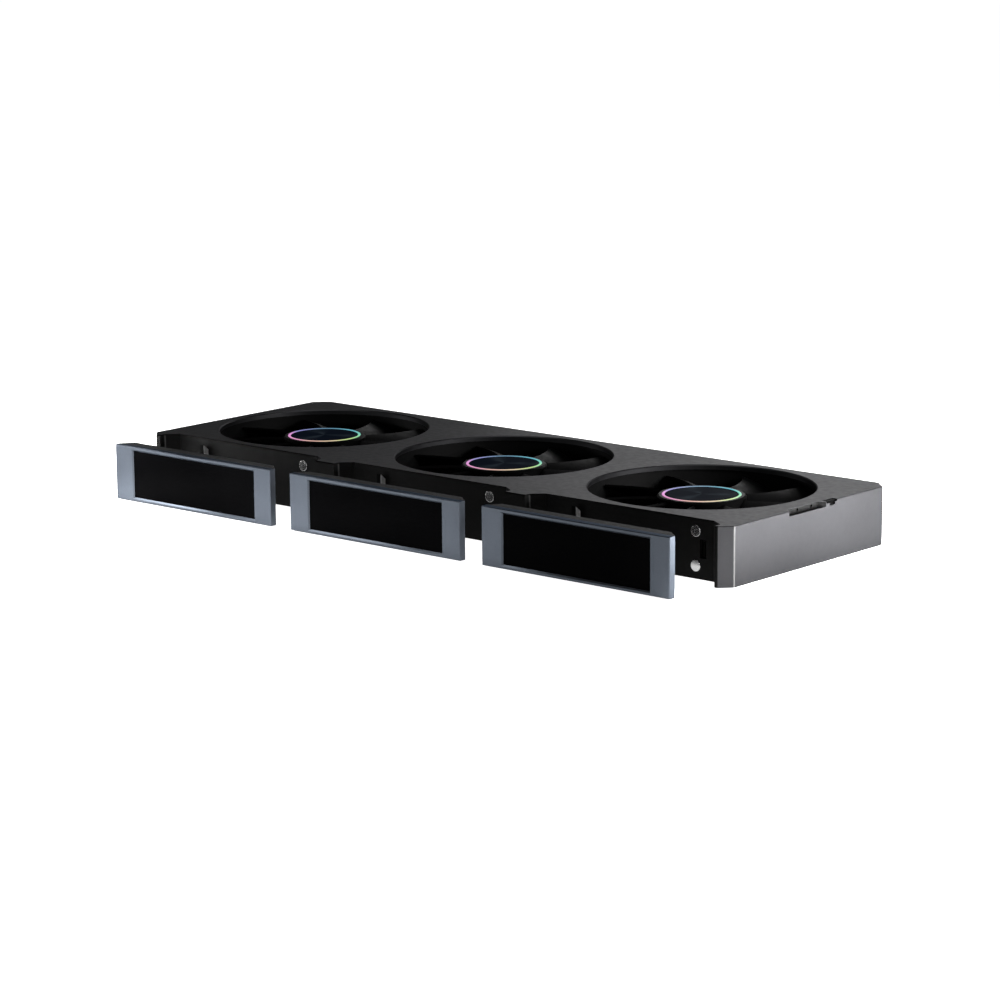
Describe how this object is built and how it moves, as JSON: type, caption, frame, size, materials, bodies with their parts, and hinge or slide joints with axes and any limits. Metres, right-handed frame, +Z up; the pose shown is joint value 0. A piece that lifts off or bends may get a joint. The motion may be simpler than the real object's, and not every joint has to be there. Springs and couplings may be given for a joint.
{
  "type": "liquid cooling radiator fan unit",
  "caption": "Long flat fan unit for a liquid cooling radiator, with round fans in a row in one grey shroud and thin display modules that dock into shallow bays along the front.",
  "frame": {"origin": "axis of the middle fan on the underside, which is also the centre of its mounting holes", "axes": "+X along the row of fans, +Y from the display side to the back, +Z up, out of the open side of the fans"},
  "size_m": [0.363, 0.1553, 0.0274],
  "materials": {
    "shroud_metal": "satin dark grey anodised",
    "frame_plastic": "matt black moulded",
    "blade_plastic": "satin black moulded",
    "magnet_nickel": "nickel plated",
    "socket_plastic": "black",
    "contact_gold": "gold plated",
    "board": "dark circuit board",
    "screw_steel": "black zinc",
    "bearing_brass": "sintered",
    "core_steel": "laminated",
    "copper_wire": "enamelled copper",
    "shaft_steel": "ground",
    "light_ring": "glowing diffuser",
    "hub_mirror": "dark mirror",
    "bezel_metal": "satin blue-grey anodised",
    "cover_glass": "black glass",
    "panel": "black",
    "housing_plastic": "matt dark grey moulded"
  },
  "bodies": {
    "body": {"top_shroud": "shroud_metal", "dock_wall_1": "frame_plastic", "dock_wall_2": "frame_plastic", "dock_wall_3": "frame_plastic", "dock_catches": "frame_plastic", "dock_magnets": "magnet_nickel", "catch_leaves": "magnet_nickel", "dock_sockets": "socket_plastic", "link_socket": "socket_plastic", "link_contacts": "contact_gold", "control_board": "board", "shroud_screws": "screw_steel", "windings": "copper_wire", "motor_boards": "board", "fan_frame_1": "frame_plastic", "bearing_1": "bearing_brass", "stator_1": "core_steel", "fan_frame_2": "frame_plastic", "bearing_2": "bearing_brass", "stator_2": "core_steel", "fan_frame_3": "frame_plastic", "bearing_3": "bearing_brass", "stator_3": "core_steel"},
    "fan_rotor_1": {"rotor_1": "blade_plastic", "shaft_1": "shaft_steel", "magnet_ring_1": "core_steel", "light_ring_1": "light_ring", "hub_mirror_1": "hub_mirror"},
    "fan_rotor_2": {"rotor_2": "blade_plastic", "shaft_2": "shaft_steel", "magnet_ring_2": "core_steel", "light_ring_2": "light_ring", "hub_mirror_2": "hub_mirror"},
    "fan_rotor_3": {"rotor_3": "blade_plastic", "shaft_3": "shaft_steel", "magnet_ring_3": "core_steel", "light_ring_3": "light_ring", "hub_mirror_3": "hub_mirror"},
    "display_module_1": {"bezel_1": "bezel_metal", "cover_glass_1": "cover_glass", "lcd_panel_1": "panel", "rear_housing_1": "housing_plastic", "display_board_1": "board", "module_magnets_1": "magnet_nickel", "module_plug_1": "contact_gold"},
    "display_module_2": {"bezel_2": "bezel_metal", "cover_glass_2": "cover_glass", "lcd_panel_2": "panel", "rear_housing_2": "housing_plastic", "display_board_2": "board", "module_magnets_2": "magnet_nickel", "module_plug_2": "contact_gold"},
    "display_module_3": {"bezel_3": "bezel_metal", "cover_glass_3": "cover_glass", "lcd_panel_3": "panel", "rear_housing_3": "housing_plastic", "display_board_3": "board", "module_magnets_3": "magnet_nickel", "module_plug_3": "contact_gold"}
  },
  "joints": [
    {"name": "fan_spin_1", "type": "hinge", "parent": "body", "child": "fan_rotor_1", "pos_m": [-0.12, 0, 0.0137], "axis": [0, 0, 1], "continuous": true},
    {"name": "fan_spin_2", "type": "hinge", "parent": "body", "child": "fan_rotor_2", "pos_m": [0, 0, 0.0137], "axis": [0, 0, 1], "continuous": true},
    {"name": "fan_spin_3", "type": "hinge", "parent": "body", "child": "fan_rotor_3", "pos_m": [0.12, 0, 0.0137], "axis": [0, 0, 1], "continuous": true},
    {"name": "dock_slide_1", "type": "slide", "parent": "body", "child": "display_module_1", "axis": [0, 1, 0], "range_m": [0, 0.03]},
    {"name": "dock_slide_2", "type": "slide", "parent": "body", "child": "display_module_2", "axis": [0, 1, 0], "range_m": [0, 0.03]},
    {"name": "dock_slide_3", "type": "slide", "parent": "body", "child": "display_module_3", "axis": [0, 1, 0], "range_m": [0, 0.03]}
  ]
}
